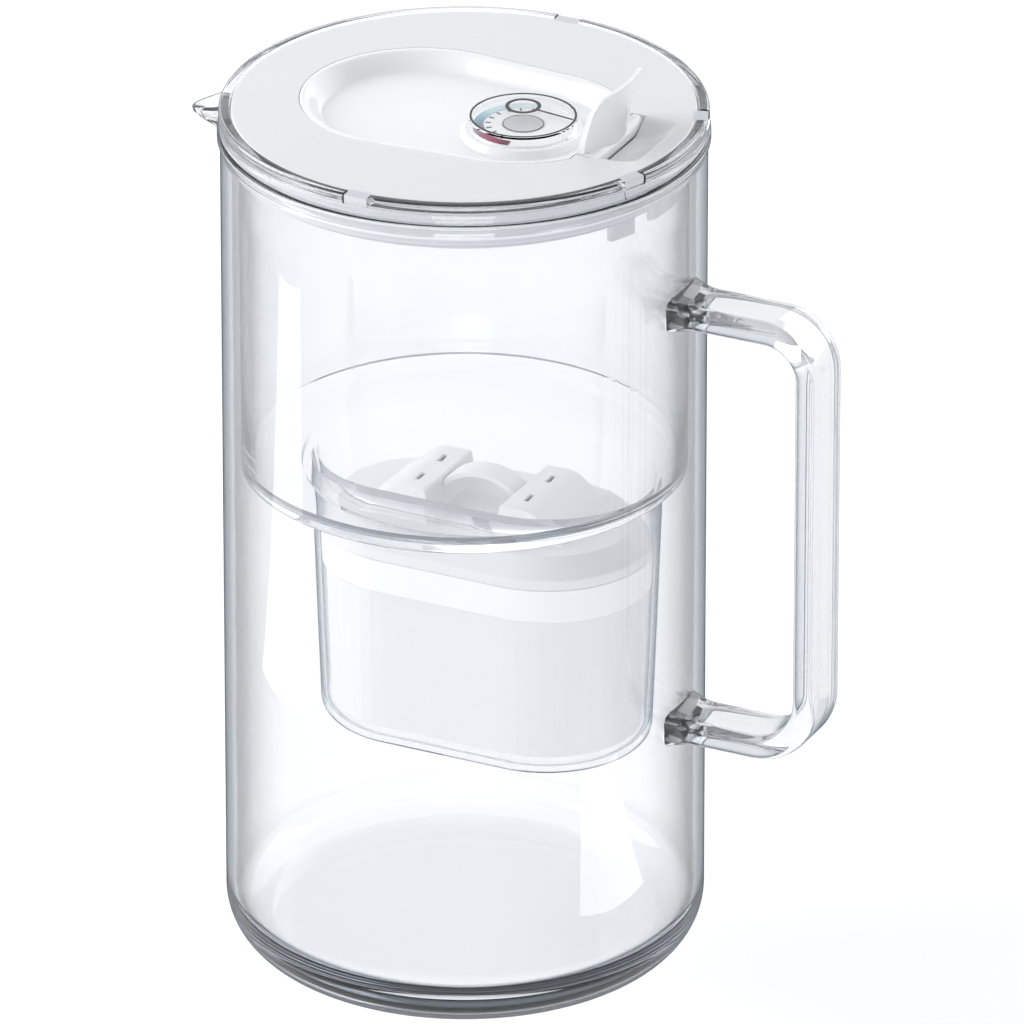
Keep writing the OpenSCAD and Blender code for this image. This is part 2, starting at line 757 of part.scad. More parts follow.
module flap_panel() {
  rear_x = lug_x - running_gap;
  color("white")
  difference() {
    union() {
      difference() {
        flap_plug(0, flap_z);
        lug_zone(lug_r + running_gap, barrel_l / 2, flap_r, flap_z - 1);
        translate([rear_x, -flap_r, flap_z - 1]) cube([flap_rear_r, 2 * flap_r, 20]);
        // The sunken trough
        translate([rear_shift - flap_span / 2, 0, trough_z]) hull() {
          translate([-flap_span / 2, 0, 0]) cylinder(h = trough_depth + eps, r1 = flap_r - trough_slope - 0.6,
            r2 = flap_r - 0.6);
          translate([flap_span / 2, 0, 0]) cylinder(h = trough_depth + eps, r1 = flap_rear_r - trough_slope - 0.6,
            r2 = flap_rear_r - 0.6);
        }
      }
      // Tongue and hinge barrel
      translate([0, 0, flap_z]) linear_extrude(hinge_z - flap_z) band_2d(rear_x - 2, hinge_x, barrel_l);
      translate([hinge_x, 0, hinge_z]) rotate([90, 0, 0]) cylinder(h = barrel_l, r = barrel_r, center = true);
      thumb_blade();
    }
    translate([hinge_x, 0, hinge_z]) rotate([90, 0, 0]) cylinder(h = barrel_l + 2, r = bore_r, center = true);
    // Hole for the dial's stem
    translate([dial_x, 0, flap_z - 1]) cylinder(h = flap_floor + 2, r = 2.5);
  }
}

// Soft seal under the flap's edge
module flap_seal() {
  color("silver")
  translate([0, 0, flap_z - seal_t]) linear_extrude(seal_t) front_of(hinge_x - 8) difference() {
    flap_outline(ledge_w - seat_w - 0.2);
    flap_outline(0.2 - seat_w);
  }
}

// Change dial

module dial_base() {
  color("white") translate([dial_x, 0, 0]) {
    translate([0, 0, trough_z]) cylinder(h = dial_base_t, r1 = dial_base_r + dial_flare, r2 = dial_base_r);
    translate([0, 0, dial_boss_z - eps]) cylinder(h = dial_boss_h + eps, r = dial_boss_r);
    translate([0, 0, flap_z + 0.2]) cylinder(h = flap_floor, r = 2.4);
  }
}

// Printed arc on the spout side, which runs from blue to red
module dial_scale() {
  color("steelblue") translate([dial_x, 0, dial_face_z]) linear_extrude(print_t) intersection() {
    difference() {
      circle(r = scale_out_r);
      circle(r = scale_out_r - scale_w);
    }
    rotate(8) translate([-dial_cap_r, -dial_cap_r]) square([dial_cap_r, 2 * dial_cap_r]);
  }
}

// Month ticks inside the arc
module dial_ticks() {
  color("black") translate([dial_x, 0, dial_face_z]) for (step = [0:8]) {
    rotate(100 + step * 20) translate([scale_out_r - scale_w - 2, -0.2, 0]) cube([1.4, 0.4, print_t]);
  }
}

module dial_hub() {
  color("gray") translate([dial_x, 0, dial_face_z]) cylinder(h = hub_t, r = dial_hub_r);
}

// Clear cap that turns round the base's boss
module dial_cap() {
  color(clear) translate([dial_x, 0, dial_cap_z]) difference() {
    cylinder(h = dial_cap_h, r = dial_cap_r);
    translate([0, 0, -1]) cylinder(h = dial_cap_h - dial_cap_t + 1, r = dial_cap_r - dial_cap_t);
  }
}

module dial_rim_line() {
  color("black") translate([dial_x, 0, dial_cap_top]) difference() {
    cylinder(h = print_t, r = dial_cap_r - 0.3);
    translate([0, 0, -1]) cylinder(h = 3, r = dial_cap_r - 0.9);
  }
}

// Black ring with a pointer line, printed on the cap
module dial_marker() {
  color("black") translate([dial_x, 0, dial_cap_top]) linear_extrude(print_t) {
    rotate(marker_turn) translate([0, marker_shift]) difference() {
      circle(r = marker_r);
      circle(r = marker_r - 1);
    }
    intersection() {
      rotate(marker_turn) translate([0, marker_shift]) rotate(-8 - marker_turn) translate([marker_r - 0.4, -0.3])
        square([dial_cap_r, 0.6]);
      circle(r = dial_cap_r - 1.1);
    }
  }
}

glass_jug();
jug_handle();
funnel_tank();
cartridge_shell();
outlet_screen();
resin_bed();
bed_divider();
carbon_bed();
inlet_screen();
seal_band();
cartridge_cap();
pull_bow();
lid_cover();
lid_liner();
skirt_seal();
hinge_axle();
flap_panel();
flap_seal();
dial_base();
dial_scale();
dial_ticks();
dial_hub();
dial_cap();
dial_rim_line();
dial_marker();
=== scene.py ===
import math

import bmesh
import bpy
from mathutils import Matrix, Vector


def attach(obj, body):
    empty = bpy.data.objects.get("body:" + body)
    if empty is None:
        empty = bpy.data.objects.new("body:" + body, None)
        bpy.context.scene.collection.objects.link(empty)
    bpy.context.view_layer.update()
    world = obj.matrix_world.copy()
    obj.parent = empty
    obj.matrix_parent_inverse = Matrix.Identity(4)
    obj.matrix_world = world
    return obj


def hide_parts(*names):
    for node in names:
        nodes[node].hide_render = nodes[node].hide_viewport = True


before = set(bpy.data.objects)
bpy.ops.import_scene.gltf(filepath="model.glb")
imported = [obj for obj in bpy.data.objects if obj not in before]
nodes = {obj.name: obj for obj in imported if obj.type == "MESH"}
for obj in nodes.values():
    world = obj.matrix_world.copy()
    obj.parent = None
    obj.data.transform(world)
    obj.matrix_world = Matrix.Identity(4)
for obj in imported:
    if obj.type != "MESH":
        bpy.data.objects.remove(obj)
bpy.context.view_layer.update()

MM = 0.001

# Sizes of the pitcher in millimetres, the same as in the CAD source
JUG_R = 65.0
JUG_TOP = 240.6
JUG_WALL = 3.0
BASE_T = 9.0
BASE_ROUND = 16.0
INNER_ROUND = 10.0
BEAD_OUT = 0.8
BEAD_H = 3.0
HANDLE_X = 108.0
HANDLE_W = 16.0
HANDLE_T = 7.2
HANDLE_TOP = 204.5
HANDLE_LOW = 74.8
TANK_R = 60.0
TANK_IN_R = 58.0
TANK_Z = 142.0
FLANGE_Z = 240.75
FLANGE_TOP = 243.75
RING_TOP = 246.6
RING_R = 65.4
RING_IN_R = 62.3
NOTCH_HALF_W = 3.6
KEY_HALF_W = 3.3
KEY_R = 65.0
COLLAR_R = 61.4
POCKET_X = 6.3
POCKET_S = 18.0
POCKET_R = 31.0
POCKET_LOW_R = 28.4
POCKET_Z = 66.0
STEP_X = 7.6
LID_Z = 243.9
LID_TOP = 246.2
LID_R = 62.0
FLAP_X = -13.0
FLAP_R = 32.0
FLAP_REAR_X = 16.0
FLAP_REAR_R = 30.0
TROUGH_Z = 241.6
FLAP_Z = 239.4
HINGE_X = 43.6
HINGE_Z = 243.6
DIAL_X = 17.5
DIAL_FACE_Z = 243.9
FLAP_DRAFT = 0.35
BLADE_T = 1.8
BLADE_TOP = 262.0
BLADE_HALF_W = 14.0
BLOCK_Z = 240.9
BLOCK_HALF_W = 19.0
DISH_DEPTH = 3.4
DISH_L = 10.5
BARREL_R = 2.6
BARREL_L = 30.0
RUNNING_GAP = 0.3


# Small helpers for shaping

def smooth_step(t):
    t = max(0.0, min(1.0, t))
    return t * t * (3 - 2 * t)


def finish_piece(name, bm, body, material, replaces=(), smooth=40.0):
    """Turns a bmesh in millimetres into a piece that rides on a body."""
    bmesh.ops.scale(bm, vec=(MM, MM, MM), verts=bm.verts)
    mesh = bpy.data.meshes.new(name)
    bm.to_mesh(mesh)
    bm.free()
    piece = bpy.data.objects.new(name, mesh)
    bpy.context.scene.collection.objects.link(piece)
    piece.data.materials.append(material)
    shade(piece, smooth)
    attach(piece, body)
    if replaces:
        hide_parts(*replaces)
    return piece


def shade(piece, angle):
    """Smooth faces, with a hard edge where two faces meet at more than the angle."""
    mesh = piece.data
    mesh.shade_smooth()
    mesh.set_sharp_from_angle(angle=math.radians(angle))


def arc(cx, cz, r, a0, a1, steps):
    """Points of an arc in a section, from one angle in degrees to another."""
    return [(cx + r * math.cos(math.radians(a0 + (a1 - a0) * i / steps)),
             cz + r * math.sin(math.radians(a0 + (a1 - a0) * i / steps))) for i in range(steps + 1)]


def start_loop(around, steps=()):
    """A ring of edges that is extruded from one level to the next. Two of its vertices stand close to each step."""
    bm = bmesh.new()
    ring = bmesh.ops.create_circle(bm, cap_ends=False, radius=1.0, segments=around)["verts"]
    angles = {v: angle_of(v) for v in ring}
    for step in steps:
        near = sorted(ring, key=lambda v: abs(math.remainder(angles[v] - step, math.tau)))[:2]
        near.sort(key=lambda v: math.remainder(angles[v] - step, math.tau))
        for v, side in zip(near, (-1, 1)):
            angles[v] = math.remainder(step + side * 0.0008, math.tau)
    return bm, angles


def angle_of(v):
    return math.atan2(v.co.y, v.co.x)


def next_loop(bm, angles, place):
    """Extrudes the ring once and puts every new vertex where place says for its angle."""
    edges = [e for e in bm.edges if e.verts[0] in angles and e.verts[1] in angles and len(e.link_faces) < 2]
    made = bmesh.ops.extrude_edge_only(bm, edges=edges)["geom"]
    fresh = [g for g in made if isinstance(g, bmesh.types.BMVert)]
    moved = {}
    for v in fresh:
        moved[v] = None
    for old, a in angles.items():
        for e in old.link_edges:
            other = e.other_vert(old)
            if other in moved and moved[other] is None:
                moved[other] = a
    for v, a in moved.items():
        v.co = Vector(place(a))
    return moved


def close_loop(bm, angles):
    """Fills the ring with one fan of triangles."""
    edges = [e for e in bm.edges if e.verts[0] in angles and e.verts[1] in angles]
    made = bmesh.ops.edgenet_fill(bm, edges=edges, mat_nr=0, use_smooth=True)["faces"]
    bmesh.ops.poke(bm, faces=made)


def swept(levels, around, close_first=True, close_last=True, join=False, steps=()):
    """A closed shell from a list of placing functions, one for each level."""
    bm, angles = start_loop(around, steps)
    for v, a in angles.items():
        v.co = Vector(levels[0](a))
    if close_first:
        close_loop(bm, angles)
    for place in levels[1:]:
        angles = next_loop(bm, angles, place)
    if close_last:
        close_loop(bm, angles)
    if join:
        bmesh.ops.remove_doubles(bm, verts=bm.verts, dist=1e-4)
    bmesh.ops.recalc_face_normals(bm, faces=bm.faces)
    return bm


def round_level(r, z):
    return lambda a: (r * math.cos(a), r * math.sin(a), z)


def oval_level(s, r, z, cx=POCKET_X):
    """A level with two round ends, whose centres are 2 s apart."""
    def place(a):
        c = math.cos(a)
        shift = 0.0 if abs(c) < 1e-6 else math.copysign(s, c)
        return (cx + shift + r * c, r * math.sin(a), z)
    return place


def flap_outline(a, grow, z=LID_TOP):
    """A point of the flap's outline, grown or shrunk. It is rounded about the hinge where it passes the lid's lugs."""
    c, y = math.cos(a), math.sin(a)
    if c < (FLAP_R - FLAP_REAR_R) / (FLAP_REAR_X - FLAP_X):
        return FLAP_X + (FLAP_R + grow) * c, (FLAP_R + grow) * y
    round_lug = math.sqrt(FLAP_REAR_SWING ** 2 - max(0.0, z - HINGE_Z) ** 2)
    limit = HINGE_X - 0.1 if abs(a) < FLAP_LUG_TURN else HINGE_X - round_lug
    return min(FLAP_REAR_X + (FLAP_REAR_R + grow) * c, limit), (FLAP_REAR_R + grow) * y


FLAP_LUG_TURN = math.asin(BARREL_L / 2 / FLAP_REAR_R)
# Radius about the hinge that the flap's edge keeps where it passes the lugs
FLAP_REAR_SWING = 4.45


def merged_copy(node, dissolve=0.4):
    """A CAD node's shape in millimetres with its loose triangles joined."""
    bm = bmesh.new()
    bm.from_mesh(nodes[node].data)
    bmesh.ops.scale(bm, vec=(1 / MM, 1 / MM, 1 / MM), verts=bm.verts)
    bmesh.ops.remove_doubles(bm, verts=bm.verts, dist=2e-3)
    bmesh.ops.dissolve_limit(bm, angle_limit=math.radians(dissolve), verts=bm.verts, edges=bm.edges)
    return bm


def soften(piece, width, segments=2, angle=35):
    """Rounds the piece's edges."""
    rounding = piece.modifiers.new("edge rounding", "BEVEL")
    rounding.width = width * MM
    rounding.segments = segments
    rounding.limit_method = "ANGLE"
    rounding.angle_limit = math.radians(angle)
    rounding.harden_normals = True
    rounding.use_clamp_overlap = True
    return rounding


# Materials

def new_material(name):
    material = bpy.data.materials.new(name)
    material.use_nodes = True
    tree = material.node_tree
    return material, tree, tree.nodes["Principled BSDF"]


def surface_wave(tree, shader, scale, strength, distance, detail=2.0):
    """A faint waviness of the surface, as moulding leaves it."""
    where = tree.nodes.new("ShaderNodeTexCoord")
    noise = tree.nodes.new("ShaderNodeTexNoise")
    noise.inputs["Scale"].default_value = scale
    noise.inputs["Detail"].default_value = detail
    bump = tree.nodes.new("ShaderNodeBump")
    bump.inputs["Strength"].default_value = strength
    bump.inputs["Distance"].default_value = distance
    tree.links.new(where.outputs["Object"], noise.inputs["Vector"])
    tree.links.new(noise.outputs["Fac"], bump.inputs["Height"])
    tree.links.new(bump.outputs["Normal"], shader.inputs["Normal"])
    return where


def varied_roughness(tree, shader, where, scale, low, high):
    noise = tree.nodes.new("ShaderNodeTexNoise")
    noise.inputs["Scale"].default_value = scale
    noise.inputs["Detail"].default_value = 4.0
    span = tree.nodes.new("ShaderNodeMapRange")
    span.inputs["To Min"].default_value = low
    span.inputs["To Max"].default_value = high
    tree.links.new(where.outputs["Object"], noise.inputs["Vector"])
    tree.links.new(noise.outputs["Fac"], span.inputs["Value"])
    tree.links.new(span.outputs["Result"], shader.inputs["Roughness"])


def varied_colour(tree, shader, where, scale, first, second, detail=3.0):
    noise = tree.nodes.new("ShaderNodeTexNoise")
    noise.inputs["Scale"].default_value = scale
    noise.inputs["Detail"].default_value = detail
    blend = tree.nodes.new("ShaderNodeMix")
    blend.data_type = "RGBA"
    blend.inputs["A"].default_value = (*first, 1)
    blend.inputs["B"].default_value = (*second, 1)
    tree.links.new(where.outputs["Object"], noise.inputs["Vector"])
    tree.links.new(noise.outputs["Fac"], blend.inputs["Factor"])
    tree.links.new(blend.outputs["Result"], shader.inputs["Base Color"])
    return blend


def let_light_through(piece):
    """Light reaches what stands inside a clear piece."""
    piece.visible_shadow = False
    piece.visible_diffuse = False


def clear_plastic(name, tint, density, stops, wave=0.05, bend=1.49, rim=None):
    """Clear moulded plastic: it tints what is seen through a lot of it, and painted shade darkens its colour towards
    its rims, where it is seen edge-on.
    """
    material, tree, shader = new_material(name)
    shader.inputs["Transmission Weight"].default_value = 1.0
    shader.inputs["IOR"].default_value = bend
    where = surface_wave(tree, shader, 14.0, wave, 0.002)
    varied_roughness(tree, shader, where, 30.0, 0.0, 0.012)
    # Painted shade: the colour seen through darkens as the surface turns edge-on, by the listed stops
    facing = tree.nodes.new("ShaderNodeLayerWeight")
    facing.inputs["Blend"].default_value = 0.5
    ramp = tree.nodes.new("ShaderNodeValToRGB")
    bar = ramp.color_ramp
    rim_shade_colours = [(at, (level * 0.998, level, level * 1.004, 1)) for at, level in stops]
    bar.elements[0].position, bar.elements[0].color = rim_shade_colours[0]
    bar.elements[1].position, bar.elements[1].color = rim_shade_colours[-1]
    for at, colour in rim_shade_colours[1:-1]:
        bar.elements.new(at).color = colour
    tree.links.new(facing.outputs["Facing"], ramp.inputs["Fac"])
    tree.links.new(ramp.outputs["Color"], shader.inputs["Base Color"])
    if rim:
        # Painted shade: at the outermost rim of a curved wall a grey coat tint dims both the reflections and the view
        # through
        shader.inputs["Coat IOR"].default_value = 1.0
        shader.inputs["Coat Roughness"].default_value = 0.0
        shader.inputs["Coat Tint"].default_value = (*rim, 1)
        rim_shade_onset = tree.nodes.new("ShaderNodeValToRGB")
        rim_shade_onset.color_ramp.elements[0].position = 0.66
        rim_shade_onset.color_ramp.elements[0].color = (0, 0, 0, 1)
        rim_shade_onset.color_ramp.elements[1].position = 0.8
        rim_shade_onset.color_ramp.elements[1].color = (1, 1, 1, 1)
        tree.links.new(facing.outputs["Facing"], rim_shade_onset.inputs["Fac"])
        tree.links.new(rim_shade_onset.outputs["Color"], shader.inputs["Coat Weight"])
    depth = tree.nodes.new("ShaderNodeVolumeAbsorption")
    depth.inputs["Color"].default_value = (*tint, 1)
    depth.inputs["Density"].default_value = density
    tree.links.new(depth.outputs["Volume"], tree.nodes["Material Output"].inputs["Volume"])
    return material


def moulded_plastic(name, first, second, low, high, wave=0.06, specular=0.5, coat=0.0, scale=55.0):
    material, tree, shader = new_material(name)
    shader.inputs["Specular IOR Level"].default_value = specular
    shader.inputs["Coat Weight"].default_value = coat
    shader.inputs["Coat Roughness"].default_value = 0.12
    where = surface_wave(tree, shader, scale, wave, 0.0006, 3.0)
    varied_roughness(tree, shader, where, 120.0, low, high)
    varied_colour(tree, shader, where, 25.0, first, second)
    return material


def grain_material(name, first, second, size, rough, depth):
    """Packed beads or granules."""
    material, tree, shader = new_material(name)
    shader.inputs["Roughness"].default_value = rough
    where = tree.nodes.new("ShaderNodeTexCoord")
    cells = tree.nodes.new("ShaderNodeTexVoronoi")
    cells.inputs["Scale"].default_value = 1.0 / (size * MM)
    ramp = tree.nodes.new("ShaderNodeValToRGB")
    ramp.color_ramp.elements[0].color = (*first, 1)
    ramp.color_ramp.elements[1].color = (*second, 1)
    bump = tree.nodes.new("ShaderNodeBump")
    bump.inputs["Strength"].default_value = 0.6
    bump.inputs["Distance"].default_value = depth
    bump.invert = True
    tree.links.new(where.outputs["Object"], cells.inputs["Vector"])
    tree.links.new(cells.outputs["Color"], ramp.inputs["Fac"])
    tree.links.new(ramp.outputs["Color"], shader.inputs["Base Color"])
    tree.links.new(cells.outputs["Distance"], bump.inputs["Height"])
    tree.links.new(bump.outputs["Normal"], shader.inputs["Normal"])
    return material


def screen_cloth(name):
    """Fine woven screen."""
    material, tree, shader = new_material(name)
    shader.inputs["Roughness"].default_value = 0.7
    where = tree.nodes.new("ShaderNodeTexCoord")
    threads = []
    for direction in ("X", "Y"):
        wave = tree.nodes.new("ShaderNodeTexWave")
        wave.bands_direction = direction
        wave.inputs["Scale"].default_value = 320.0
        tree.links.new(where.outputs["Object"], wave.inputs["Vector"])
        threads.append(wave)
    both = tree.nodes.new("ShaderNodeMath")
    both.operation = "MAXIMUM"
    tree.links.new(threads[0].outputs["Fac"], both.inputs[0])
    tree.links.new(threads[1].outputs["Fac"], both.inputs[1])
    ramp = tree.nodes.new("ShaderNodeValToRGB")
    ramp.color_ramp.elements[0].color = (0.35, 0.36, 0.38, 1)
    ramp.color_ramp.elements[1].color = (0.82, 0.83, 0.85, 1)
    bump = tree.nodes.new("ShaderNodeBump")
    bump.inputs["Strength"].default_value = 0.4
    bump.inputs["Distance"].default_value = 0.0002
    tree.links.new(both.outputs[0], ramp.inputs["Fac"])
    tree.links.new(ramp.outputs["Color"], shader.inputs["Base Color"])
    tree.links.new(both.outputs[0], bump.inputs["Height"])
    tree.links.new(bump.outputs["Normal"], shader.inputs["Normal"])
    return material


def drawn_steel(name):
    material, tree, shader = new_material(name)
    shader.inputs["Metallic"].default_value = 1.0
    where = tree.nodes.new("ShaderNodeTexCoord")
    stretch = tree.nodes.new("ShaderNodeMapping")
    stretch.inputs["Scale"].default_value = (900.0, 12.0, 900.0)
    noise = tree.nodes.new("ShaderNodeTexNoise")
    noise.inputs["Scale"].default_value = 1.0
    ramp = tree.nodes.new("ShaderNodeValToRGB")
    ramp.color_ramp.elements[0].color = (0.5, 0.51, 0.53, 1)
    ramp.color_ramp.elements[1].color = (0.72, 0.73, 0.75, 1)
    span = tree.nodes.new("ShaderNodeMapRange")
    span.inputs["To Min"].default_value = 0.18
    span.inputs["To Max"].default_value = 0.38
    tree.links.new(where.outputs["Object"], stretch.inputs["Vector"])
    tree.links.new(stretch.outputs["Vector"], noise.inputs["Vector"])
    tree.links.new(noise.outputs["Fac"], ramp.inputs["Fac"])
    tree.links.new(ramp.outputs["Color"], shader.inputs["Base Color"])
    tree.links.new(noise.outputs["Fac"], span.inputs["Value"])
    tree.links.new(span.outputs["Result"], shader.inputs["Roughness"])
    return material


def printed_ink(name, colour, second):
    material, tree, shader = new_material(name)
    shader.inputs["Specular IOR Level"].default_value = 0.4
    where = surface_wave(tree, shader, 900.0, 0.08, 0.0001, 2.0)
    varied_roughness(tree, shader, where, 700.0, 0.3, 0.5)
    varied_colour(tree, shader, where, 800.0, colour, second)
    return material


def dial_scale_ink(name):
    """Printed arc that runs from blue at its far end to red at its near end."""
    material, tree, shader = new_material(name)
    shader.inputs["Specular IOR Level"].default_value = 0.4
    where = surface_wave(tree, shader, 900.0, 0.08, 0.0001, 2.0)
    varied_roughness(tree, shader, where, 700.0, 0.3, 0.5)
    centre = tree.nodes.new("ShaderNodeMapping")
    centre.inputs["Location"].default_value = (-DIAL_X * MM, 0, 0)
    centre.inputs["Rotation"].default_value = (0, 0, 0)
    parts = tree.nodes.new("ShaderNodeSeparateXYZ")
    turn = tree.nodes.new("ShaderNodeMath")
    turn.operation = "ARCTAN2"
    negative = tree.nodes.new("ShaderNodeMath")
    negative.operation = "MULTIPLY"
    negative.inputs[1].default_value = -1.0
    span = tree.nodes.new("ShaderNodeMapRange")
    span.inputs["From Min"].default_value = -math.pi / 2
    span.inputs["From Max"].default_value = math.pi / 2
    ramp = tree.nodes.new("ShaderNodeValToRGB")
    stops = ((0.0, (0.12, 0.02, 0.035)), (0.06, (0.3, 0.05, 0.09)), (0.2, (0.3, 0.1, 0.16)), (0.32, (0.2, 0.2, 0.27)),
             (0.45, (0.2, 0.38, 0.45)), (0.6, (0.5, 0.66, 0.7)), (1.0, (0.66, 0.74, 0.76)))
    bar = ramp.color_ramp
    bar.elements[0].position, bar.elements[0].color = stops[0][0], (*stops[0][1], 1)
    bar.elements[1].position, bar.elements[1].color = stops[-1][0], (*stops[-1][1], 1)
    for position, colour in stops[1:-1]:
        bar.elements.new(position).color = (*colour, 1)
    tree.links.new(where.outputs["Object"], centre.inputs["Vector"])
    tree.links.new(centre.outputs["Vector"], parts.inputs["Vector"])
    tree.links.new(parts.outputs["X"], negative.inputs[0])
    tree.links.new(parts.outputs["Y"], turn.inputs[0])
    tree.links.new(negative.outputs[0], turn.inputs[1])
    tree.links.new(turn.outputs[0], span.inputs["Value"])
    tree.links.new(span.outputs["Result"], ramp.inputs["Fac"])
    tree.links.new(ramp.outputs["Color"], shader.inputs["Base Color"])
    return material


CLEAR_TINT = (0.5, 0.53, 0.57)
# The stops give each clear plastic its painted shade: how dark its colour is painted as its surface turns edge-on, and
# the grey coat tint of painted shade at its rim
jug_plastic = clear_plastic("clear jug plastic", CLEAR_TINT, 21.0, (
    (0.2, 0.985), (0.42, 0.94), (0.5, 0.83), (0.56, 0.72), (0.65, 0.5), (0.72, 0.44), (0.85, 0.4), (1.0, 0.42)),
    rim=(0.885, 0.893, 0.9))
handle_plastic = clear_plastic("clear handle plastic", CLEAR_TINT, 11.0, (
    (0.2, 0.96), (0.4, 0.88), (0.6, 0.66), (0.8, 0.48), (1.0, 0.46)), rim=(0.88, 0.89, 0.9))
tank_plastic = clear_plastic("clear tank plastic", CLEAR_TINT, 10.0, (
    (0.2, 0.985), (0.5, 0.87), (0.77, 0.8), (1.0, 0.7)), rim=(0.93, 0.936, 0.942))
floor_plastic = clear_plastic("clear tank floor plastic", CLEAR_TINT, 5.0, (
    (0.2, 0.98), (0.6, 0.935), (0.8, 0.8), (1.0, 0.6)), 0.03, 1.05, (0.93, 0.936, 0.942))
cap_plastic = clear_plastic("clear dial plastic", CLEAR_TINT, 6.0, (
    (0.2, 0.985), (0.6, 0.95), (1.0, 0.8)), 0.02, 1.16)
white_gloss = moulded_plastic("white lid plastic", (0.675, 0.675, 0.682), (0.685, 0.685, 0.69), 0.22, 0.3, 0.006,
                              0.5, 0.15)
# Painted light: the flap's white is lighter than the lid's, so the sunken trough does not darken in the shade of its
# walls
flap_white_painted_light = moulded_plastic("white flap plastic", (0.8, 0.8, 0.803), (0.808, 0.808, 0.81), 0.2, 0.27, 0.006, 0.5, 0.2)
white_satin = moulded_plastic("white cartridge plastic", (0.67, 0.673, 0.682), (0.7, 0.702, 0.708), 0.4, 0.55, 0.08)
# The under-shell's frosted plastic is darkened with painted shade to the grey it shows in the shadow under the lid
liner_shaded_grey = moulded_plastic("frosted liner plastic", (0.53, 0.545, 0.565), (0.58, 0.595, 0.615), 0.45, 0.6, 0.06)
seal_rubber = moulded_plastic("pale seal silicone", (0.74, 0.75, 0.76), (0.8, 0.81, 0.82), 0.55, 0.7, 0.12, 0.35)
steel = drawn_steel("drawn axle steel")
screen = screen_cloth("woven screen")
resin = grain_material("filter resin beads", (0.5, 0.34, 0.15), (0.82, 0.66, 0.4), 0.7, 0.45, 0.0003)
carbon = grain_material("filter carbon granules", (0.012, 0.012, 0.013), (0.07, 0.07, 0.075), 1.1, 0.6, 0.0005)
black_ink = printed_ink("black dial print", (0.02, 0.02, 0.024), (0.035, 0.035, 0.04))
hub_grey = printed_ink("grey hub print", (0.48, 0.48, 0.49), (0.54, 0.54, 0.55))
scale_ink = dial_scale_ink("blue and red dial print")


# Jug

def spout_push(a):
    """How far the spout stands out at an angle round the jug."""
    t = math.degrees(abs(math.pi - abs(a)))
    return 14.2 * math.exp(-((t / 6.5) ** 2)) + 1.0 * math.exp(-((t / 13.0) ** 2))


def spout_sink(a):
    """How far the rim drops at an angle round the jug."""
    t = math.degrees(abs(math.pi - abs(a)))
    return 9.2 * math.exp(-((t / 9.0) ** 2))


def jug_level(r, z, inside):
    """A level of the jug's wall. Inside the spout its floor stands higher, so that it keeps its thickness."""
    def place(a):
        rise = smooth_step((z - 216.0) / (JUG_TOP - 216.0))
        out = r + spout_push(a) * rise
        high = z - spout_sink(a) * smooth_step((z - 224.0) / (JUG_TOP - 224.0))
        if inside:
            high += spout_sink(a) * rise * (1 - rise)
        return (out * math.cos(a), out * math.sin(a), high)
    return place


def make_jug():
    inner = JUG_R - JUG_WALL
    section = [(2.0, 0.0), (JUG_R - BASE_ROUND - 1, 0.0)]
    section += arc(JUG_R - BASE_ROUND, BASE_ROUND, BASE_ROUND, -90, 0, 22)
    section += [(JUG_R, z) for z in (40, 80, 120, 160, 200, 212)]
    section += [(JUG_R, 216.0 + 1.1 * i) for i in range(1, 19)]
    bead = JUG_R + BEAD_OUT
    section += [(JUG_R, JUG_TOP - BEAD_H - 0.6), (JUG_R + 0.25, JUG_TOP - BEAD_H - 0.1),
                (bead, JUG_TOP - BEAD_H + 0.6)]
    section += arc(bead - 0.9, JUG_TOP - 0.9, 0.9, 0, 90, 5)
    section += arc(inner + 0.8, JUG_TOP - 0.8, 0.8, 90, 180, 5)
    outside = len(section)
    section += [(inner, JUG_TOP - 1.2 * i) for i in range(2, 20)]
    section += [(inner, z) for z in (212, 200, 160, 120, 80, 40, 24)]
    section += arc(inner - INNER_ROUND, BASE_T + INNER_ROUND, INNER_ROUND, 0, -90, 18)
    section += [(inner - INNER_ROUND - 4, BASE_T), (2.0, BASE_T)]
    bm = swept([jug_level(r, z, i >= outside) for i, (r, z) in enumerate(section)], 360)
    return finish_piece("jug_body", bm, "jug", jug_plastic, ["glass_jug"], 60)


# Handle

def bar_section(width, thick, edge):
    """The handle bar's cross-section, standing up at the wall: a rectangle with round corners."""
    bm = bmesh.new()
    bmesh.ops.create_grid(bm, x_segments=1, y_segments=1, size=0.5)
    bmesh.ops.scale(bm, vec=(thick, width, 1), verts=bm.verts)
    bmesh.ops.bevel(bm, geom=bm.verts[:], offset=edge, offset_type="OFFSET", segments=5, profile=0.5,
                    affect="VERTICES", material=-1)
    return bm


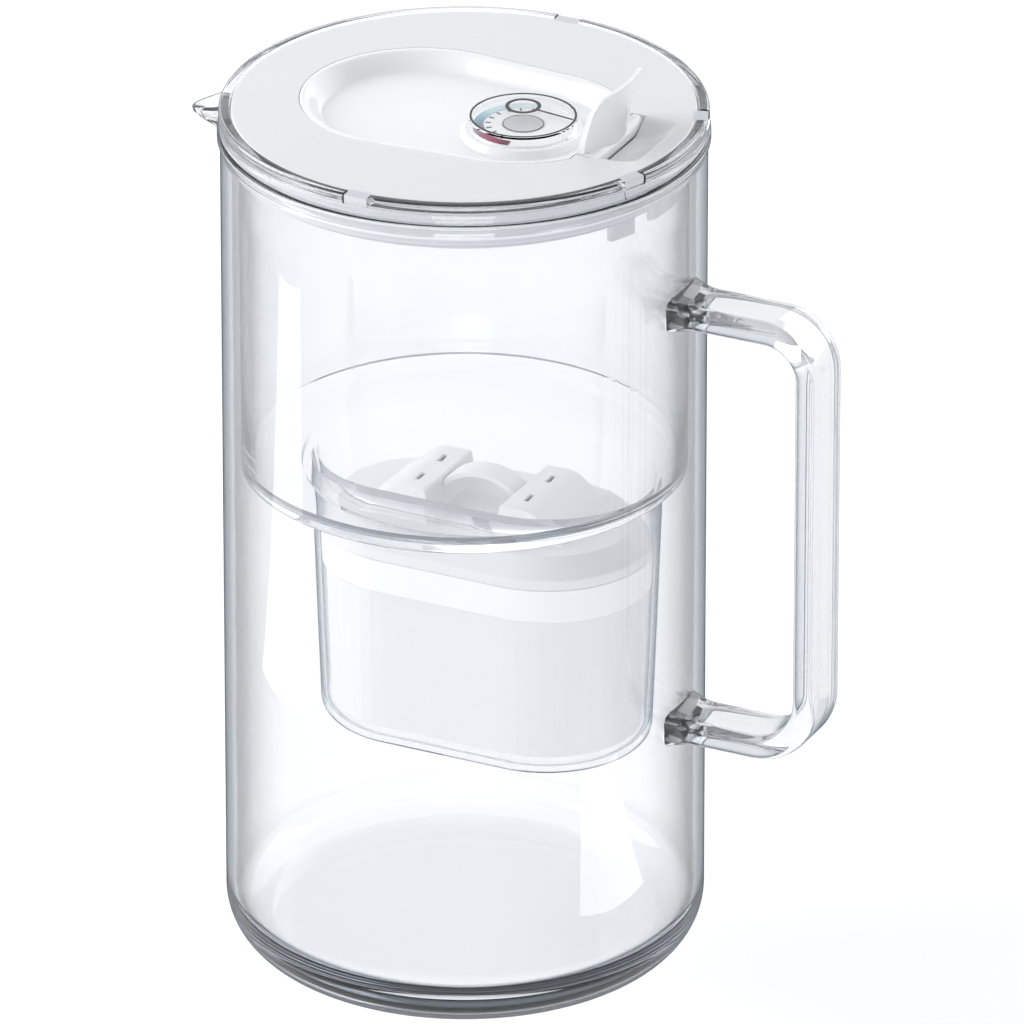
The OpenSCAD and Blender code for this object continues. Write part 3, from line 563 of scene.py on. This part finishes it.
def make_handle():
    half = HANDLE_T / 2
    top_r, low_r = 16.0 - half, 19.0 - half
    x_mid = HANDLE_X - half
    z_top, z_low = HANDLE_TOP - half, HANDLE_LOW + half
    bm = bar_section(HANDLE_W, HANDLE_T, 2.0)
    # Stand the section up, so that its thickness runs along z and it faces the wall
    bmesh.ops.rotate(bm, cent=(0, 0, 0), matrix=Matrix.Rotation(math.radians(90), 3, "Y"), verts=bm.verts)
    bmesh.ops.translate(bm, vec=(JUG_R + 7.0, 0, z_top), verts=bm.verts)
    ring = [v for v in bm.verts]
    bmesh.ops.delete(bm, geom=bm.faces[:], context="FACES_ONLY")
    edges = bm.edges[:]

    def pull(edges, vec):
        made = bmesh.ops.extrude_edge_only(bm, edges=edges)["geom"]
        bmesh.ops.translate(bm, vec=vec, verts=[g for g in made if isinstance(g, bmesh.types.BMVert)])
        return [g for g in made if isinstance(g, bmesh.types.BMEdge)]

    def turn(edges, centre, degrees, steps):
        last = bmesh.ops.spin(bm, geom=edges, cent=centre, axis=(0, 1, 0), dvec=(0, 0, 0),
                              angle=math.radians(degrees), steps=steps, use_merge=False,
                              use_normal_flip=False, use_duplicate=False)["geom_last"]
        return [g for g in last if isinstance(g, bmesh.types.BMEdge)]

    start = edges
    end = pull(start, (x_mid - top_r - JUG_R - 7.0, 0, 0))
    end = turn(end, (x_mid - top_r, 0, z_top - top_r), 90, 16)
    end = pull(end, (0, 0, -(z_top - top_r - z_low - low_r)))
    end = turn(end, (x_mid - low_r, 0, z_low + low_r), 90, 18)
    end = pull(end, (-(x_mid - low_r - JUG_R - 7.0), 0, 0))

    def foot(edges, z_mid):
        """Flares the bar's end in soft steps and seats it on the jug's round wall."""
        loop = edges
        steps = 7
        for i in range(1, steps + 1):
            t = i / steps
            made = bmesh.ops.extrude_edge_only(bm, edges=loop)["geom"]
            fresh = [g for g in made if isinstance(g, bmesh.types.BMVert)]
            grow = (1 - math.cos(t * math.pi / 2)) if i < steps else 1.0
            before = (1 - math.cos((i - 1) / steps * math.pi / 2))
            gain_y = (HANDLE_W / 2 + 1.8 * grow) / (HANDLE_W / 2 + 1.8 * before)
            gain_z = (half + 1.26 * grow) / (half + 1.26 * before)
            for v in fresh:
                v.co.y *= gain_y
                v.co.z = z_mid + (v.co.z - z_mid) * gain_z
                wall = math.sqrt((JUG_R + 0.02) ** 2 - v.co.y ** 2)
                v.co.x = (JUG_R + 7.0) * (1 - t) + wall * t
            loop = [g for g in made if isinstance(g, bmesh.types.BMEdge)]
        face = bmesh.ops.edgenet_fill(bm, edges=loop, mat_nr=0, use_smooth=True)["faces"]
        bmesh.ops.poke(bm, faces=face)

    foot(start, z_top)
    foot(end, z_low)
    bmesh.ops.recalc_face_normals(bm, faces=bm.faces)
    return finish_piece("handle_bar", bm, "jug", handle_plastic, ["jug_handle"], 50)


# Funnel tank

def pocket_r(z):
    return POCKET_LOW_R + (z - POCKET_Z) * (POCKET_R - POCKET_LOW_R) / (TANK_Z - POCKET_Z)


NOTCHES = [math.radians(turn) for turn in (90, -90, 20, -20)]


def notch_half():
    """Half the angle of a notch that takes one of the lid's keys."""
    return math.asin(NOTCH_HALF_W / RING_R)


def ring_level(r, z):
    """A level of the ring round the lid, which is cut down to the flange at the notches."""
    def place(a):
        cut = min(abs(math.remainder(a - turn, math.tau)) for turn in NOTCHES) < notch_half()
        return (r * math.cos(a), r * math.sin(a), FLANGE_TOP + 0.02 if cut else z)
    return place


def make_tank():
    wall, pocket_wall = 2.0, 1.6
    floor = TANK_Z + wall
    mouth_r = pocket_r(floor) - pocket_wall
    levels = []
    # Inside of the pocket, from its outlet up to the tank's floor
    levels.append(round_level_at(11.0, POCKET_Z, POCKET_X))
    levels.append(round_level_at(11.0, POCKET_Z + pocket_wall, POCKET_X))
    base_r = pocket_r(POCKET_Z) - pocket_wall
    levels.append(oval_level(POCKET_S, base_r - 5.5, POCKET_Z + pocket_wall))
    for r, z in arc(base_r - 4.0, POCKET_Z + pocket_wall + 5.0, 5.0, -75, 0, 6):
        levels.append(oval_level(POCKET_S, base_r - 4.6 + (r - base_r + 4.0) * 0.95, z))
    levels.append(oval_level(POCKET_S, pocket_r(90) - pocket_wall, 90))
    levels.append(oval_level(POCKET_S, pocket_r(120) - pocket_wall, 120))
    levels.append(oval_level(POCKET_S, mouth_r, floor - 0.25))
    levels.append(oval_level(POCKET_S, mouth_r + 0.25, floor))
    # Step on the tank's floor, and the wall
    step_r = TANK_IN_R - STEP_X
    levels.append(round_level_at(step_r, floor, STEP_X))
    levels.append(round_level_at(step_r + 0.3, floor + 1.85, STEP_X))
    levels.append(round_level_at(step_r + 0.5, floor + 2.0, STEP_X * 0.98))
    levels.append(round_level(TANK_IN_R - 1.6, floor + 2.0))
    for r, z in arc(TANK_IN_R - 1.6, floor + 3.6, 1.6, -90, 0, 5)[1:]:
        levels.append(round_level(r, z))
    for z in (170, 200, 230, 240):
        levels.append(round_level(TANK_IN_R, z))
    # Flange and the clear ring round the lid
    for r, z in arc(TANK_IN_R + 0.5, FLANGE_TOP - 0.5, 0.5, 180, 90, 3):
        levels.append(round_level(r, z))
    levels.append(round_level(RING_IN_R - 0.3, FLANGE_TOP))
    levels.append(ring_level(RING_IN_R, FLANGE_TOP + 0.3))
    for r, z in arc(RING_IN_R + 0.5, RING_TOP - 0.5, 0.5, 180, 90, 4):
        levels.append(ring_level(r, z))
    for r, z in arc(RING_R - 1.1, RING_TOP - 1.1, 1.1, 90, 0, 6):
        levels.append(ring_level(r, z))
    levels.append(ring_level(RING_R, FLANGE_TOP + 0.45))
    levels.append(round_level(RING_R - 0.22, FLANGE_TOP + 0.1))
    levels.append(round_level(RING_R, FLANGE_TOP - 0.25))
    for r, z in arc(RING_R - 0.6, FLANGE_Z + 0.6, 0.6, 0, -90, 4):
        levels.append(round_level(r, z))
    # Collar inside the jug's rim, and the tank's outer wall
    levels.append(round_level(COLLAR_R + 0.3, FLANGE_Z))
    levels.append(round_level(COLLAR_R, FLANGE_Z - 0.4))
    levels.append(round_level(COLLAR_R, JUG_TOP - 6.9))
    levels.append(round_level(COLLAR_R - 0.4, JUG_TOP - 7.2))
    levels.append(round_level(TANK_R + 0.2, JUG_TOP - 7.4))
    levels.append(round_level(TANK_R, JUG_TOP - 8.0))
    for z in (220, 200, 170):
        levels.append(round_level(TANK_R, z))
    for r, z in arc(TANK_R - 4.0, TANK_Z + 4.0, 4.0, 0, -90, 10):
        levels.append(round_level(r, z))
    # Outside of the pocket, down to its outlet
    levels.append(oval_level(POCKET_S, pocket_r(TANK_Z) + 0.3, TANK_Z))
    levels.append(oval_level(POCKET_S, pocket_r(TANK_Z), TANK_Z - 0.3))
    levels.append(oval_level(POCKET_S, pocket_r(120), 120))
    levels.append(oval_level(POCKET_S, pocket_r(90), 90))
    low = pocket_r(POCKET_Z)
    for r, z in arc(low - 4.9, POCKET_Z + 5.0, 5.0, 0, -90, 9):
        levels.append(oval_level(POCKET_S, r, z))
    levels.append(levels[0])
    steps = [turn + side * notch_half() for turn in NOTCHES for side in (-1, 1)]
    bm = swept(levels, 320, close_first=False, close_last=False, join=True, steps=steps)
    piece = finish_piece("tank_body", bm, "funnel", tank_plastic, ["funnel_tank"], 50)
    # The floor, its step and the pocket bend what is seen through them less than the thick rim does
    piece.data.materials.append(floor_plastic)
    for face in piece.data.polygons:
        if face.center.z < 0.1485:
            face.material_index = 1
    return piece


def round_level_at(r, z, cx):
    return lambda a: (cx + r * math.cos(a), r * math.sin(a), z)


# Flap with its sunken trough and thumb blade

def blade_front(y, z):
    """The front face of the thumb blade. It is bowed at its foot, and flatter and further back at its top."""
    high = max(0.0, (z - LID_TOP) / (BLADE_TOP - LID_TOP))
    lean = 0.75 * high + 0.25 * high ** 2
    return (HINGE_X - y * y / 56) * (1 - lean) + (HINGE_X + 3.6 - y * y / 95) * lean


def scoop(x, y):
    """How far the trough's floor sweeps up where it runs into the thumb blade."""
    radius = 7.0
    gap = max(0.0, blade_front(y, LID_TOP) - x)
    if gap >= radius:
        return 0.0
    rise = radius - math.sqrt(radius ** 2 - (radius - gap) ** 2)
    return rise * (1 - smooth_step((abs(y) - 11.0) / 3.5))


def trough_level(depth_in):
    """A level of the flap's upper face, some way in from its outline."""
    def place(a):
        x, y = flap_outline(a, -depth_in)
        wall = LID_TOP - (LID_TOP - TROUGH_Z) * smooth_step((depth_in - 0.7) / 5.4)
        if x > HINGE_X - BARREL_R:
            wall = TROUGH_Z + 1.6
        return (x, y, max(wall, TROUGH_Z + scoop(x, y)))
    return place


def flap_level(grow, z):
    return lambda a: (*flap_outline(a, grow, z), z)


def add_blade(bm):
    """The thumb blade: a slab that is bent round an upright axis, leans back and grows thinner upwards."""
    for v in bm.verts:
        v.tag = True
    slab = bmesh.ops.create_cube(bm, size=1.0)["verts"]
    edges = list({e for v in slab for e in v.link_edges})
    bmesh.ops.subdivide_edges(bm, edges=edges, cuts=23, use_grid_fill=True)
    verts = [v for v in bm.verts if not v.tag]
    foot, corner = TROUGH_Z - 0.6, 4.0
    for v in verts:
        y = 2 * BLADE_HALF_W * v.co.x
        over = max(0.0, abs(y) - (BLADE_HALF_W - corner))
        top = BLADE_TOP - corner + math.sqrt(max(0.0, corner ** 2 - over ** 2))
        z = foot + (top - foot) * (v.co.z + 0.5)
        thick = BLADE_T - 0.7 * max(0.0, (z - LID_TOP) / (BLADE_TOP - LID_TOP))
        thick += 0.45 * (1 - smooth_step((z - LID_TOP + 1.6) / 4.4))
        v.co = Vector((blade_front(y, z) + thick * (0.5 - v.co.y), y, z))
    bmesh.ops.recalc_face_normals(bm, faces=list({f for v in verts for f in v.link_faces}))


def make_flap():
    levels = []
    for z in (FLAP_Z, FLAP_Z + 0.2, 241.5, 243.5, 245.2):
        levels.append(flap_level(0.15 - (LID_TOP - z) * FLAP_DRAFT - (0.2 if z == FLAP_Z else 0.0), z))
    levels += [flap_level(0.19, LID_TOP - 0.3), flap_level(0.15, LID_TOP - 0.1), flap_level(0.0, LID_TOP)]
    levels += [trough_level(0.7 + 0.3 * i) for i in range(19)]
    levels += [trough_level(depth_in) for depth_in in (6.6, 7.4, 8.4, 9.6, 11.0, 13.0, 15.5, 19.0, 23.0, 27.0)]
    bm = swept(levels, 288, steps=(FLAP_LUG_TURN, -FLAP_LUG_TURN))
    add_blade(bm)
    barrel = bmesh.ops.create_cone(bm, cap_ends=True, segments=48, radius1=BARREL_R, radius2=BARREL_R,
                                   depth=BARREL_L)["verts"]
    bmesh.ops.rotate(bm, cent=(0, 0, 0), matrix=Matrix.Rotation(math.radians(90), 3, "X"), verts=barrel)
    bmesh.ops.translate(bm, vec=(HINGE_X, 0, HINGE_Z), verts=barrel)
    return finish_piece("flap_shell", bm, "flap", flap_white_painted_light, ["flap_panel"], 50)


# Lid's plate, with the flap's opening, the hinge block and the thumb dish

KEYS = NOTCHES
BARREL_TURN = math.asin((BARREL_L / 2 + RUNNING_GAP) / (FLAP_REAR_R + RUNNING_GAP))
LUG_TURN = math.asin(BLOCK_HALF_W / (FLAP_REAR_R + RUNNING_GAP))


def opening(a, grow):
    """A point of the opening's edge, which leaves the lugs and makes room for the barrel."""
    c, y = math.cos(a), math.sin(a)
    if c < (FLAP_R - FLAP_REAR_R) / (FLAP_REAR_X - FLAP_X):
        return FLAP_X + (FLAP_R + grow) * c, (FLAP_R + grow) * y
    x, y = FLAP_REAR_X + (FLAP_REAR_R + grow) * c, (FLAP_REAR_R + grow) * y
    if abs(a) < BARREL_TURN:
        return HINGE_X + BARREL_R + RUNNING_GAP, (FLAP_REAR_R + RUNNING_GAP) * math.sin(a)
    if abs(a) < LUG_TURN:
        return min(x, HINGE_X - 3.4), y
    return x, y


def lid_height(x, y):
    """The lid's upper face, with the thumb dish behind the blade. The dish fades out to both sides."""
    dish_r = (DISH_L ** 2 + DISH_DEPTH ** 2) / (2 * DISH_DEPTH)
    back = x - HINGE_X - BARREL_R - RUNNING_GAP
    if back < -0.1 or back > DISH_L:
        return LID_TOP
    drop = DISH_DEPTH - dish_r + math.sqrt(dish_r ** 2 - back ** 2)
    return LID_TOP - drop * (1 - smooth_step((abs(y) - 7.0) / 8.6))


def lid_under(x, y):
    inside = smooth_step((54.0 - x) / 1.5) * smooth_step((BLOCK_HALF_W + 0.8 - abs(y)) / 1.5)
    return LID_Z - (LID_Z - BLOCK_Z) * (inside if x > HINGE_X - 3.6 else 0.0)


def lid_level(share, lift, under=False, grow=0.3):
    """A level of the lid's plate between its opening (0) and its rim (1)."""
    def place(a):
        x0, y0 = opening(a, grow)
        x = x0 + (61.4 * math.cos(a) - x0) * share
        y = y0 + (61.4 * math.sin(a) - y0) * share
        return (x, y, (lid_under(x, y) if under else lid_height(x, y)) + lift)
    return place


def rim_level(inset, z):
    """A level of the lid's rim, with its four keys."""
    def place(a):
        key = min(abs(math.remainder(a - turn, math.tau)) for turn in KEYS) < math.asin(KEY_HALF_W / KEY_R)
        r = (KEY_R if key else LID_R) - inset
        return (r * math.cos(a), r * math.sin(a), z)
    return place


def make_lid():
    levels = [lid_level(0.0, 0.0, True, -0.5), lid_level(0.0, -0.3), lid_level(0.001, -0.06, grow=0.32),
              lid_level(0.004, 0.0, grow=0.4)]
    levels += [lid_level(0.03 * i, 0.0) for i in range(1, 34)]
    levels += [rim_level(0.3, LID_TOP), rim_level(0.08, LID_TOP - 0.09), rim_level(0.0, LID_TOP - 0.3),
               rim_level(0.0, LID_Z + 0.2), rim_level(0.2, LID_Z)]
    levels += [lid_level(0.04 * i, 0.0, True) for i in range(24, -1, -1)]
    levels.append(levels[0])
    key_half = math.asin(KEY_HALF_W / KEY_R)
    steps = [turn + side * key_half for turn in KEYS for side in (-1, 1)]
    steps += [BARREL_TURN, -BARREL_TURN, LUG_TURN, -LUG_TURN]
    bm = swept(levels, 320, close_first=False, close_last=False, join=True, steps=steps)
    piece = finish_piece("lid_plate", bm, "lid", white_gloss, ["lid_cover"], 45)
    # Painted shade: the keys, part of the white lid, take the under-shell's shaded grey where they stand in the clear
    # ring's notches
    piece.data.materials.append(liner_shaded_grey)
    for face in piece.data.polygons:
        if math.hypot(face.center.x, face.center.y) > (LID_R + 0.6) * MM:
            face.material_index = 1
    return piece


# Dial's printed parts

def printed_arc(name, r0, r1, turn0, turn1, z, cx, cy, body, material, replaces=(), thick=0.12, around=160):
    """A thin printed ring or part of a ring round a point."""
    bm = bmesh.new()
    ends = [bmesh.ops.create_vert(bm, co=(cx + r, cy, z + lift))["vert"][0]
            for r, lift in ((r0, 0), (r1, 0), (r1, thick), (r0, thick))]
    face = bmesh.ops.contextual_create(bm, geom=ends)["faces"]
    bmesh.ops.rotate(bm, cent=(cx, cy, 0), matrix=Matrix.Rotation(math.radians(turn0), 3, "Z"), verts=bm.verts)
    whole = abs(turn1 - turn0) >= 360
    steps = max(8, round(around * abs(turn1 - turn0) / 360))
    if whole:
        bmesh.ops.delete(bm, geom=face, context="FACES_ONLY")
        bmesh.ops.spin(bm, geom=bm.edges[:], cent=(cx, cy, 0), axis=(0, 0, 1), dvec=(0, 0, 0), angle=math.tau,
                       steps=steps, use_merge=True, use_normal_flip=False, use_duplicate=False)
    else:
        bmesh.ops.spin(bm, geom=face, cent=(cx, cy, 0), axis=(0, 0, 1), dvec=(0, 0, 0),
                       angle=math.radians(turn1 - turn0), steps=steps, use_merge=False, use_normal_flip=False,
                       use_duplicate=False)
    bmesh.ops.remove_doubles(bm, verts=bm.verts, dist=1e-4)
    bmesh.ops.recalc_face_normals(bm, faces=bm.faces)
    return finish_piece(name, bm, body, material, replaces, 30)


jug_piece = make_jug()
handle_piece = make_handle()
lid_piece = make_lid()
tank_piece = make_tank()
flap_piece = make_flap()
soften(flap_piece, 0.3, 2, 55)
for piece in (jug_piece, handle_piece, tank_piece, nodes["dial_cap"]):
    let_light_through(piece)


# Thin line round the dial's hub
printed_arc("hub_outline", 5.3, 5.55, 0, 360, DIAL_FACE_Z + 0.12, DIAL_X, 0, "flap", black_ink,
            thick=0.1)


# Nodes whose shape is kept, with softer edges

for node, body, material, slot, width in (
    ("cartridge_cap", "cartridge", white_satin, "white_shell", 0.9),
    ("pull_bow", "cartridge", white_satin, "white_shell", 0.35),
    ("seal_band", "cartridge", seal_rubber, "soft_seal", 0.5),
):
    softer = finish_piece(node + "_soft", merged_copy(node), body, material, [node], 35)
    soften(softer, width, 3, 28)


# Nodes that keep their own shape, with their finish

def dress(node, material):
    """Gives a CAD node its finish."""
    node_object = nodes[node]
    node_object.data.materials.clear()
    node_object.data.materials.append(material)


for node, material in (
    ("cartridge_shell", white_satin), ("outlet_screen", screen), ("resin_bed", resin), ("bed_divider", screen),
    ("carbon_bed", carbon), ("inlet_screen", screen), ("lid_liner", liner_shaded_grey), ("skirt_seal", seal_rubber),
    ("hinge_axle", steel), ("flap_seal", seal_rubber), ("dial_base", flap_white_painted_light),
    ("dial_scale", scale_ink), ("dial_ticks", black_ink), ("dial_hub", hub_grey), ("dial_cap", cap_plastic),
    ("dial_rim_line", black_ink), ("dial_marker", black_ink),
):
    dress(node, material)


# Floor, light and camera

def make_floor():
    bm = bmesh.new()
    bmesh.ops.create_grid(bm, x_segments=1, y_segments=1, size=6.0)
    bmesh.ops.translate(bm, vec=(0, 0, -0.0004), verts=bm.verts)
    mesh = bpy.data.meshes.new("floor")
    bm.to_mesh(mesh)
    bm.free()
    floor = bpy.data.objects.new("floor", mesh)
    bpy.context.scene.collection.objects.link(floor)
    material, tree, shader = new_material("pale floor")
    shader.inputs["Base Color"].default_value = (0.93, 0.93, 0.93, 1)
    shader.inputs["Roughness"].default_value = 0.9
    shader.inputs["Specular IOR Level"].default_value = 0.1
    floor.data.materials.append(material)
    return floor


def area_light(name, place, aim, size, power, colour=(1, 1, 1), seen_through=True):
    lamp = bpy.data.lights.new(name, "AREA")
    lamp.shape = "RECTANGLE"
    lamp.size, lamp.size_y = size
    lamp.energy = power
    lamp.color = colour
    holder = bpy.data.objects.new(name, lamp)
    bpy.context.scene.collection.objects.link(holder)
    holder.location = place
    holder.rotation_mode = "QUATERNION"
    holder.rotation_quaternion = (Vector(aim) - Vector(place)).to_track_quat("-Z", "Y")
    holder.visible_camera = False
    holder.visible_transmission = seen_through
    return holder


def floor_card(name, turn, reach, size, bright=3.2):
    """A glowing strip on the floor, seen only as a highlight in upright walls."""
    angle = math.radians(26.0 - 90.0 + turn)
    place = Vector((reach * math.cos(angle), reach * math.sin(angle), 0.0002))
    power = math.pi * size[0] * size[1] * bright
    card = area_light(name, place, place + Vector((0, 0, 1)), size, power, seen_through=False)
    upward = Matrix.Rotation(math.pi, 4, "X")
    card.rotation_quaternion = (Matrix.Rotation(angle, 4, "Z") @ upward).to_quaternion()
    return card


def make_world():
    world = bpy.data.worlds.new("studio")
    bpy.context.scene.world = world
    world.use_nodes = True
    tree = world.node_tree
    back = tree.nodes["Background"]
    where = tree.nodes.new("ShaderNodeTexCoord")
    parts = tree.nodes.new("ShaderNodeSeparateXYZ")
    ramp = tree.nodes.new("ShaderNodeValToRGB")
    ramp.color_ramp.elements[0].position = 0.0
    ramp.color_ramp.elements[0].color = (1.0, 1.0, 1.0, 1)
    ramp.color_ramp.elements[1].position = 0.9
    ramp.color_ramp.elements[1].color = (0.36, 0.37, 0.39, 1)
    ramp.color_ramp.elements.new(0.4).color = (0.62, 0.63, 0.65, 1)
    tree.links.new(where.outputs["Generated"], parts.inputs["Vector"])
    tree.links.new(parts.outputs["Z"], ramp.inputs["Fac"])
    shade_side = tree.nodes.new("ShaderNodeValToRGB")
    shade_side.color_ramp.elements[0].color = (1, 1, 1, 1)
    shade_side.color_ramp.elements[1].position = 0.8
    shade_side.color_ramp.elements[1].color = (0.42, 0.43, 0.45, 1)
    both = tree.nodes.new("ShaderNodeMix")
    both.data_type = "RGBA"
    both.blend_type = "MULTIPLY"
    both.inputs["Factor"].default_value = 1.0
    tree.links.new(parts.outputs["X"], shade_side.inputs["Fac"])
    tree.links.new(ramp.outputs["Color"], both.inputs["A"])
    tree.links.new(shade_side.outputs["Color"], both.inputs["B"])
    tree.links.new(both.outputs["Result"], back.inputs["Color"])
    back.inputs["Strength"].default_value = 1.66


def make_camera():
    elevation, azimuth = math.radians(25.69), math.radians(26.0)
    distance = 4.204
    back = Vector((math.sin(azimuth) * math.cos(elevation), -math.cos(azimuth) * math.cos(elevation),
                   math.sin(elevation)))
    right = Vector((math.cos(azimuth), math.sin(azimuth), 0))
    up = back.cross(right)
    aim = Vector((0, 0, 0.125)) + right * 0.01274 + up * 0.0012
    lens = bpy.data.cameras.new("camera")
    lens.sensor_width = 36.0
    lens.lens = 549.0
    lens.clip_end = 60.0
    holder = bpy.data.objects.new("camera", lens)
    bpy.context.scene.collection.objects.link(holder)
    holder.location = aim + back * distance
    holder.rotation_mode = "QUATERNION"
    holder.rotation_quaternion = (-back).to_track_quat("-Z", "Y")
    bpy.context.scene.camera = holder


make_floor()
make_world()
area_light("key", (-1.1, -0.3, 0.9), (0, 0, 0.1), (1.2, 1.0), 12.3)
area_light("back", (0.5, 1.3, 0.8), (0, 0, 0.1), (1.6, 1.0), 10)
area_light("fill", (0.88, -1.8, 0.2), (0, 0, 0.12), (1.0, 1.0), 13)
floor_card("right card", 58, 0.165, (0.09, 0.066))
floor_card("left card", -86, 0.37, (0.28, 0.12), 2.2)
make_camera()
scene = bpy.context.scene
scene.view_settings.view_transform = "Standard"
scene.cycles.max_bounces = 28
scene.cycles.transmission_bounces = 28
scene.cycles.glossy_bounces = 8
scene.cycles.diffuse_bounces = 4
scene.cycles.transparent_max_bounces = 16
scene.cycles.sample_clamp_indirect = 5.0
scene.cycles.caustics_reflective = False
scene.cycles.caustics_refractive = False
